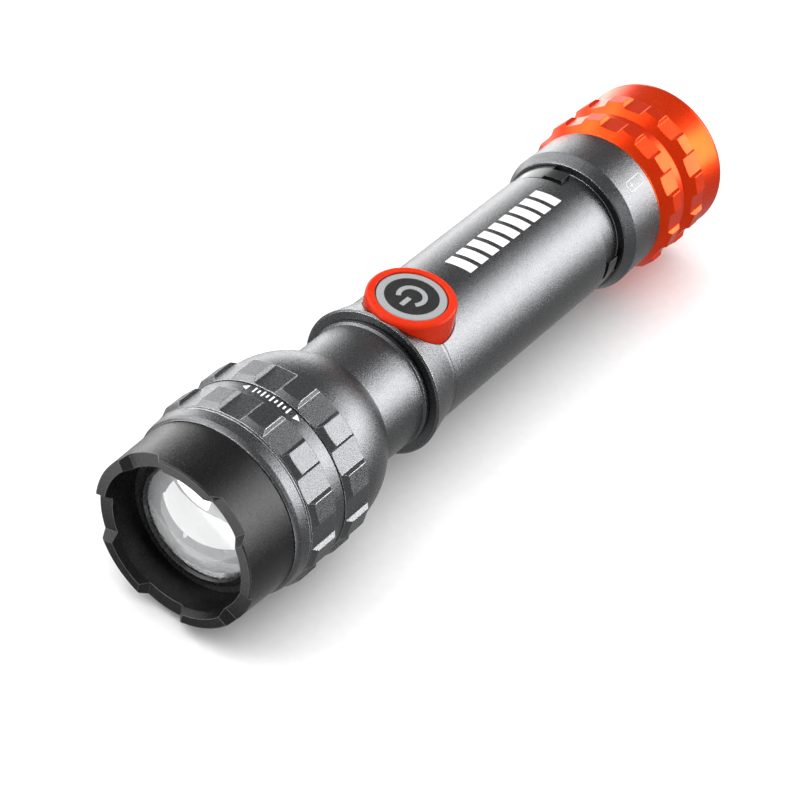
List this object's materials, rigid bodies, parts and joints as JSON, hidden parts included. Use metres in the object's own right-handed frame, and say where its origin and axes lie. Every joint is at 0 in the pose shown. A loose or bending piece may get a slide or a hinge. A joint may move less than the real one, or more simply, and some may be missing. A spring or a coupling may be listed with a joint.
{
  "type": "tactical flashlight",
  "caption": "Handheld metal flashlight with a toothed black bezel, a twist-zoom head with faceted grip rings, a raised side button, a swivelling pocket clip and an orange screw-on tail cap.",
  "frame": {"origin": "centre of the tail cap's flat end face, on the body's axis", "axes": "+X along the body towards the head, so the beam leaves along +X; +Z out through the side button; +Y completes the right-handed set"},
  "size_m": [0.165, 0.0392, 0.0392],
  "materials": {
    "gunmetal": "satin bead-blasted anodising, dark grey",
    "black_metal": "fine-textured black anodising",
    "orange_metal": "bright orange anodising",
    "orange_plastic": "gloss orange-red moulding",
    "clip_steel": "gloss black coating on spring steel",
    "lens_glass": "polished, anti-reflective",
    "black_plastic": "moulded, satin",
    "grey_plastic": "light grey satin moulding",
    "black_gloss": "smooth black insert",
    "seal_rubber": "black nitrile",
    "steel": "plain steel",
    "spring_plating": "gold-plated spring wire",
    "board_white": "white solder mask on an aluminium board",
    "board_green": "green solder mask",
    "led_ceramic": "white package",
    "led_phosphor": "clear dome over yellow phosphor",
    "wire_red": "silicone insulation",
    "wire_black": "silicone insulation",
    "cell_wrap": "shrink wrap",
    "insulator_white": "fibre washer",
    "magnet_nickel": "nickel plated",
    "brass": "turned"
  },
  "bodies": {
    "barrel_body": {"barrel": "gunmetal", "neck_tube": "gunmetal", "head_stop_ring": "steel", "led_board": "board_white", "led_base": "led_ceramic", "led_dome": "led_phosphor", "board_screws": "steel", "led_wire_positive": "wire_red", "led_wire_negative": "wire_black", "switch_ring": "orange_plastic", "button_gasket": "seal_rubber", "tact_switch": "black_plastic", "switch_board": "board_green", "driver_holder": "black_plastic", "driver_board": "board_green", "driver_spring": "spring_plating", "battery_can": "steel", "battery_wrap": "cell_wrap", "battery_insulator": "insulator_white", "battery_positive_cap": "steel", "tail_seal": "seal_rubber"},
    "zoom_seal_body": {"zoom_seal": "seal_rubber"},
    "head": {"bezel": "black_metal", "lens": "lens_glass", "lens_retaining_ring": "black_plastic", "lens_gasket": "seal_rubber", "head_sleeve": "gunmetal"},
    "button": {"button_cap": "grey_plastic", "button_disc": "black_gloss", "switch_plunger": "grey_plastic"},
    "clip": {"pocket_clip": "clip_steel"},
    "tail_spring_body": {"tail_spring": "spring_plating"},
    "tail": {"tail_cap": "orange_metal", "tail_magnet": "magnet_nickel", "tail_contact_board": "board_green", "tail_retaining_ring": "brass"}
  },
  "joints": [
    {"name": "head_advance", "type": "slide", "parent": "barrel_body", "child": "zoom_seal_body", "axis": [-1, 0, 0], "range_m": [0, 0.01]},
    {"name": "head_twist", "type": "hinge", "parent": "zoom_seal_body", "child": "head", "pos_m": [0.13, 0, 0], "axis": [-1, 0, 0], "range_deg": [0, 150]},
    {"name": "button_press", "type": "slide", "parent": "barrel_body", "child": "button", "axis": [0, 0, -1], "range_m": [0, 0.0008], "stiffness_N_per_m": 1500, "springref_m": -0.0002},
    {"name": "clip_swivel", "type": "hinge", "parent": "barrel_body", "child": "clip", "pos_m": [0.0394, 0, 0], "axis": [1, 0, 0], "continuous": true},
    {"name": "tail_back_off", "type": "slide", "parent": "barrel_body", "child": "tail_spring_body", "axis": [-1, 0, 0], "range_m": [0, 0.007]},
    {"name": "tail_unscrew", "type": "hinge", "parent": "tail_spring_body", "child": "tail", "pos_m": [0.012, 0, 0], "axis": [-1, 0, 0], "range_deg": [0, 1440]}
  ],
  "couplings": [
    {"joint": "head_advance", "follows": "head_twist", "m_per_rad": 0.003819},
    {"joint": "tail_back_off", "follows": "tail_unscrew", "m_per_rad": 0.0002785}
  ]
}
